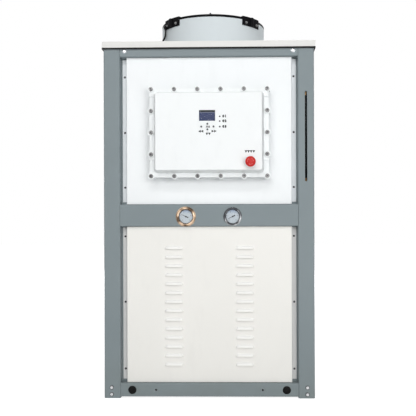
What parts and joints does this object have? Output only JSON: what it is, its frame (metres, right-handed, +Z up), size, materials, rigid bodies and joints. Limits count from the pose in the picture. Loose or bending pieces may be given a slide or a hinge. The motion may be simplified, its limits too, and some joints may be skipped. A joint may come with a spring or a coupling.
{
  "type": "recirculating chiller",
  "caption": "Free-standing air-cooled recirculating chiller: framed sheet cabinet with a roof fan, a flameproof control box, pressure gauges and a level sight slot.",
  "frame": {"origin": "on the floor under the middle of the cabinet", "axes": "+X to the right and +Y towards the back as seen from the control face, +Z up"},
  "size_m": [0.913, 1.046, 1.692],
  "materials": {
    "frame_paint": "satin grey paint",
    "panel_paint": "satin white paint",
    "roof_paint": "satin white paint",
    "shroud_paint": "gloss white paint",
    "fan_black": "satin black coating",
    "blade_black": "matt black",
    "edge_black": "matt black rubber",
    "plug_black": "matt black plastic",
    "cable_black": "matt black sheath",
    "galvanised": "galvanised sheet",
    "coil_fins": "bare aluminium fins",
    "box_paint": "powder coated casting",
    "screen_blue": "unlit blue display",
    "window_glass": "clear",
    "key_dark": "gloss",
    "lamp_lens": "gloss",
    "stop_red": "gloss red",
    "stop_metal": "satin steel",
    "gauge_brass": "polished",
    "gauge_steel": "polished",
    "dial_white": "matt pale dial",
    "pointer_black": "matt black",
    "sight_clear": "clear",
    "brass": "bright",
    "gland_black": "matt black",
    "port_steel": "stainless"
  },
  "bodies": {
    "cabinet": {"post_front_left": "frame_paint", "post_front_right": "frame_paint", "post_back_left": "frame_paint", "post_back_right": "frame_paint", "base_rails": "frame_paint", "base_plugs": "plug_black", "mid_rail_front": "frame_paint", "mid_rail_back": "frame_paint", "mid_rails_side": "frame_paint", "top_rails": "frame_paint", "base_tray": "galvanised", "deck": "galvanised", "front_upper_panel": "panel_paint", "front_lower_panel": "panel_paint", "back_upper_panel": "panel_paint", "back_lower_panel": "panel_paint", "left_lower_panel": "panel_paint", "right_lower_panel": "panel_paint", "condenser_casings": "galvanised", "condenser_cores": "coil_fins", "roof_panel": "roof_paint", "roof_edge_trim": "edge_black", "fan_shroud": "shroud_paint", "fan_guard": "fan_black", "motor_arms": "fan_black", "rim_brackets": "fan_black", "fan_motor": "fan_black", "fan_impeller": "blade_black", "fan_lead": "cable_black", "lead_gland": "gland_black", "control_box_body": "box_paint", "control_box_lid": "box_paint", "control_box_supports": "galvanised", "display_glass": "window_glass", "display_screen": "screen_blue", "indicator_lamps": "lamp_lens", "stop_collar": "stop_metal", "gauge_left_case": "gauge_brass", "gauge_right_case": "gauge_steel", "gauge_dials": "dial_white", "gauge_pointers": "pointer_black", "gauge_glasses": "window_glass", "level_sight_tube": "sight_clear", "level_fittings": "brass", "water_inlet": "port_steel", "water_outlet": "port_steel", "power_cable_gland": "gland_black"},
    "stop_plunger": {"stop_plunger": "stop_metal"},
    "stop_head": {"stop_head": "stop_red"},
    "key_up": {"key_up": "key_dark"},
    "key_down": {"key_down": "key_dark"},
    "key_left": {"key_left": "key_dark"},
    "key_right": {"key_right": "key_dark"}
  },
  "joints": [
    {"name": "stop_press", "type": "slide", "parent": "cabinet", "child": "stop_plunger", "axis": [0, 1, 0], "range_m": [0, 0.005]},
    {"name": "stop_twist", "type": "hinge", "parent": "stop_plunger", "child": "stop_head", "pos_m": [0.178, -0.5, 1.001], "axis": [0, 1, 0], "range_deg": [0, 45], "stiffness_Nm_per_rad": 0.1},
    {"name": "key_up_press", "type": "slide", "parent": "cabinet", "child": "key_up", "axis": [0, 1, 0], "range_m": [0, 0.002], "stiffness_N_per_m": 600},
    {"name": "key_down_press", "type": "slide", "parent": "cabinet", "child": "key_down", "axis": [0, 1, 0], "range_m": [0, 0.002], "stiffness_N_per_m": 600},
    {"name": "key_left_press", "type": "slide", "parent": "cabinet", "child": "key_left", "axis": [0, 1, 0], "range_m": [0, 0.002], "stiffness_N_per_m": 600},
    {"name": "key_right_press", "type": "slide", "parent": "cabinet", "child": "key_right", "axis": [0, 1, 0], "range_m": [0, 0.002], "stiffness_N_per_m": 600}
  ]
}
